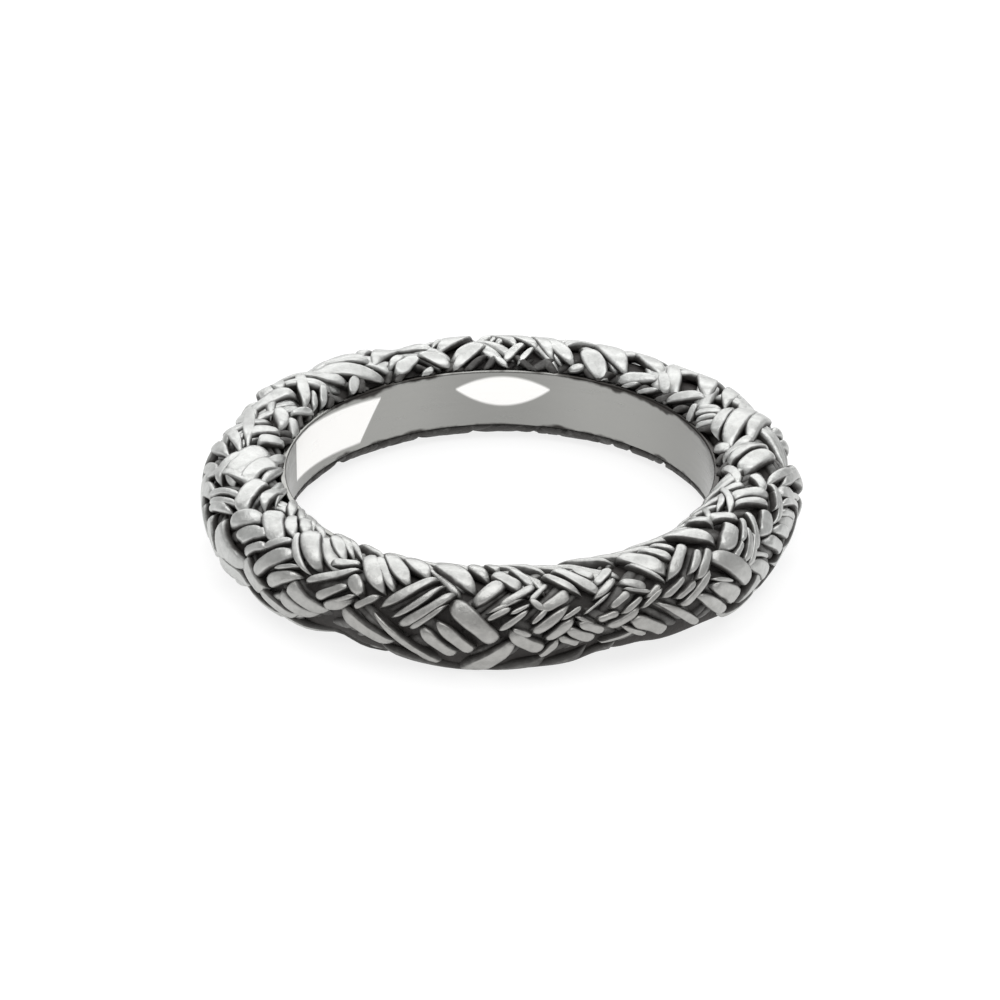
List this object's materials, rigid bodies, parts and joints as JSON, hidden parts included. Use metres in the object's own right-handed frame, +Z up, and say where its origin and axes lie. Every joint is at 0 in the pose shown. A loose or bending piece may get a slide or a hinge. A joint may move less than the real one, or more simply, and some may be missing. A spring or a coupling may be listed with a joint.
{
  "type": "braided band ring",
  "caption": "Finger ring: a smooth round band wrapped in a round braid of flat silver strands in raised relief, with a polished inside face.",
  "frame": {"origin": "under the middle of the ring, on the plane that its lowest strands stand on", "axes": "+Z up along the axis of the finger bore; the ring lies on its side in the XY plane; -Y is the side nearest the viewer"},
  "size_m": [0.024, 0.024, 0.0039],
  "materials": {
    "polished_silver": "polished silver with fine wear marks",
    "braided_silver": "cast silver, bright on its tops and blackened in its hollows"
  },
  "bodies": {
    "root": {"inner_band": "polished_silver", "rising_strand_1": "braided_silver", "rising_strand_2": "braided_silver", "rising_strand_3": "braided_silver", "rising_strand_4": "braided_silver", "falling_strand_1": "braided_silver", "falling_strand_2": "braided_silver", "falling_strand_3": "braided_silver", "falling_strand_4": "braided_silver"}
  },
  "joints": []
}
